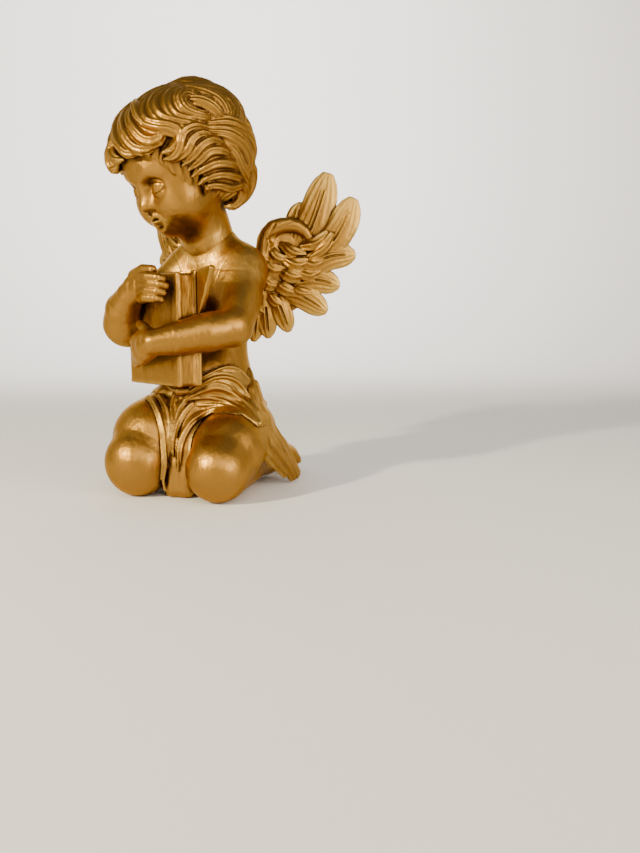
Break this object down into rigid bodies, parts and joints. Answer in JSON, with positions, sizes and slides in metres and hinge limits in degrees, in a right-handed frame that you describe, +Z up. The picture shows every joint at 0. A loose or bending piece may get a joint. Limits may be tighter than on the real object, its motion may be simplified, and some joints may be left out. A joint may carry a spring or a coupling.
{
  "type": "winged cherub statuette",
  "caption": "Gilded kneeling cherub statuette with curly hair, spread wings and a draped loincloth, hugging a closed book, flat underneath to stand on a shelf.",
  "frame": {"origin": "middle of the flat underside, below the hips", "axes": "+Z up through the top of the head, -Y towards the front of the figure, +X towards the figure's own left side"},
  "size_m": [0.0998, 0.0946, 0.1561],
  "materials": {
    "gilded_wood": "carved wood under satin antique gold paint with umber in the recesses",
    "gilded_cloth": "carved drapery, glued on, under the same satin antique gold paint",
    "dowel_wood": "bare beech dowel"
  },
  "bodies": {
    "root": {"body": "gilded_wood", "head": "gilded_wood", "left_arm": "gilded_wood", "right_arm": "gilded_wood", "book": "gilded_wood", "loincloth": "gilded_cloth", "left_wing": "gilded_wood", "right_wing": "gilded_wood", "neck_dowel": "dowel_wood", "left_shoulder_dowel": "dowel_wood", "right_shoulder_dowel": "dowel_wood", "left_wing_pegs": "dowel_wood", "right_wing_pegs": "dowel_wood"}
  },
  "joints": []
}
